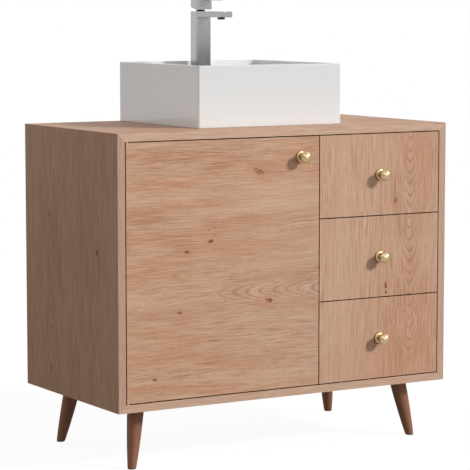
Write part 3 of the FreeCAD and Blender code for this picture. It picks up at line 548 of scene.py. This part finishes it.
def oak_door():
    """One veneer with level grain, its arches pointing to the left."""
    low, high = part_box("door_panel")
    left, top = low.x, high.z
    knots = from_corner(left, top, [
        (0.356, 0.080, 0.0060),
        (0.344, 0.073, 0.0044),
        (0.222, 0.235, 0.0044),
        (0.217, 0.209, 0.0022),
        (0.158, 0.257, 0.0038),
        (0.126, 0.310, 0.0024),
        (0.381, 0.385, 0.0056),
        (0.139, 0.397, 0.0032),
        (0.073, 0.548, 0.0036),
    ])
    tints = from_corner(left, top, [
        (0.16, 0.036, 0.22, 0.024, OAK_FLAME, 0.60),
        (0.25, 0.058, 0.07, 0.012, OAK_FLAME, 0.70),
        (0.04, 0.176, 0.12, 0.020, OAK_FLAME, 0.60),
        (0.06, 0.100, 0.20, 0.018, OAK_ORANGE, 0.60),
        (0.34, 0.250, 0.20, 0.028, OAK_ORANGE, 0.60),
        (0.07, 0.310, 0.12, 0.018, OAK_ORANGE, 0.75),
        (0.12, 0.405, 0.20, 0.026, OAK_PINK, 0.70),
        (0.34, 0.520, 0.24, 0.026, OAK_ORANGE, 0.50),
        (0.42, 0.130, 0.20, 0.055, OAK_PALE, 0.55),
        (0.45, 0.420, 0.30, 0.300, OAK_EDGE, 0.45),
    ])
    return oak("oak_door", "x", "z", "y", heart=top - 0.362, apex=left + 0.24, taper=0.15,
               depth=0.02, shift=2.0, knots=knots, tints=tints)


def oak_drawers():
    """One veneer with upright grain that runs through the three drawers' fronts."""
    low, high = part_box("drawer_1_front")
    left, top = low.x, high.z
    knots = from_corner(left, top, [
        (0.220, 0.164, 0.0042),
        (0.192, 0.371, 0.0050),
        (0.193, 0.388, 0.0036),
    ], upright=True)
    tints = from_corner(left, top, [
        (0.180, 0.20, 0.60, 0.010, OAK_PINK, 0.85),
        (0.28, 0.54, 0.28, 0.26, OAK_ORANGE, 1.0),
        (0.31, 0.08, 0.18, 0.08, OAK_ORANGE, 0.70),
        (0.186, 0.48, 0.10, 0.024, OAK_PINK, 0.75),
        (0.06, 0.20, 0.40, 0.05, OAK_LIGHT, 0.50),
    ], upright=True)
    return oak("oak_drawers", "z", "x", "y", heart=left + 0.266, apex=top - 0.54, taper=0.20,
               depth=0.02, shift=7.0, knots=knots, tints=tints, gain=1.02, pale=0.30)


def dress_fronts():
    """Oak on the door and the drawers, with painted shade on the arrises that draws the dark gap
    lines.
    """
    paint("door_panel", oak_door())
    drawer_oak = oak_drawers()
    for name in DRAWER_FRONTS:
        paint(name, drawer_oak)
    # the arrises round each front get painted shade too, so the gap lines read dark
    gap_shade_darker = tuple(0.8 * part for part in OAK_GAP_SHADE)
    arris = plain_wood("gap_shade_arris", OAK_GAP_SHADE, gap_shade_darker, shine=0.0)
    for name in ["door_panel"] + DRAWER_FRONTS:
        soften(name, FRONT_ARRIS, arris)


def dress_cabinet():
    """Oak on the four outer panels, whose front edges carry a lipping."""
    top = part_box("top_panel")[1].z
    # gain 1.08 lightens the top, as painted light where the key falls on it
    paint("top_panel", oak("oak_top", "x", "y", "z", heart=FRONT + 0.20, apex=-0.2, taper=0.08,
                           depth=0.05, shift=15.0, pale=0.3, gain=1.08, edge_y=FRONT))
    paint("bottom_panel", oak("oak_bottom", "x", "y", "z", heart=FRONT + 0.3, apex=0.1, taper=0.08,
                              depth=0.05, shift=18.0, edge_y=FRONT))
    left_knot = (top - 0.280, FRONT + 0.104, 0.0050)
    left_tint = (top - 0.3, FRONT + 0.24, 0.9, 0.6, OAK_ORANGE, 0.35)
    # gain 0.72 darkens the left side, as painted shade for the side away from the key
    paint("left_side_panel", oak("oak_left", "z", "y", "x", heart=FRONT + 0.348, apex=top - 0.2,
                                 taper=-0.12, depth=0.02, shift=21.0, knots=[left_knot],
                                 tints=[left_tint], gain=0.72, edge_y=FRONT))
    paint("right_side_panel", oak("oak_right", "z", "y", "x", heart=FRONT + 0.22, apex=top - 0.3,
                                  taper=0.10, depth=0.03, shift=25.0, gain=0.88, edge_y=FRONT))
    for side in ("top", "bottom", "left_side", "right_side"):
        soften(side + "_panel", PANEL_ARRIS)


def dress_plain_wood():
    """Plain boards inside, and the stained legs."""
    boards = ["centre_partition", "back_panel", "wall_rail", "shelf", "mitre_dowels"]
    boards += ["drawer_%d_%s" % (number, piece) for number in DRAWERS
               for piece in ("sides", "back", "bottom")]
    board = plain_wood("board", BOARD_LIGHT, BOARD_DARK)
    for name in boards:
        paint(name, board)
    leg_wood = plain_wood("leg_wood", LEG_LIGHT, LEG_DARK)
    for end in ("front", "back"):
        for side in ("left", "right"):
            paint("leg_%s_%s" % (end, side), leg_wood)


def faucet_shade():
    """Shade on the front face of the column and on what stands before it, darker toward the foot."""
    low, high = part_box("faucet_body")
    stud_low, stud_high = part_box("faucet_mounting_stud")
    column_front = 0.5 * (stud_low.y + stud_high.y) - 17.7 * MM
    return (column_front, low.z, high.z - 15 * MM, 0.46, 0.13)


def dress_hardware():
    """Metals, ceramic, rubber and plastics, by the material slots of the record."""
    black = moulded("black_plastic", (0.02, 0.02, 0.02), 0.45)
    finishes = {
        "zinc_steel": satin_metal("zinc_steel", STEEL, 0.38),
        "faucet_metal": satin_metal("satin_nickel", NICKEL, 0.24, shade=faucet_shade()),
        "drain_chrome": satin_metal("polished_chrome", CHROME, 0.12, scratch=0.03),
        "hinge_brass": satin_metal("plain_brass", PLAIN_BRASS, 0.32),
        "knob_brass": turned_brass(),
        "ceramic": glazed_ceramic(),
        "nylon": moulded("nylon", (0.05, 0.045, 0.04)),
        "black_plastic": black,
        "cartridge_plastic": moulded("cartridge", (0.75, 0.74, 0.70), 0.3),
        "silicone": moulded("silicone", (0.78, 0.78, 0.77), 0.4),
    }
    for entry in frame["record"]["subparts"]:
        if entry["material_slot"] in finishes:
            paint(entry["node"], finishes[entry["material_slot"]])
    # the aerator is painted black, standing in for its dark reflection
    paint("aerator", black)
    for name in ("faucet_body", "faucet_handle"):
        soften(name, FAUCET_ARRIS)


# ---------------------------------------------------------------- the scene
add_camera()
add_floor()
dress_fronts()
dress_cabinet()
dress_plain_wood()
dress_hardware()
add_lights()
add_world()
bpy.context.scene.view_settings.view_transform = "Standard"
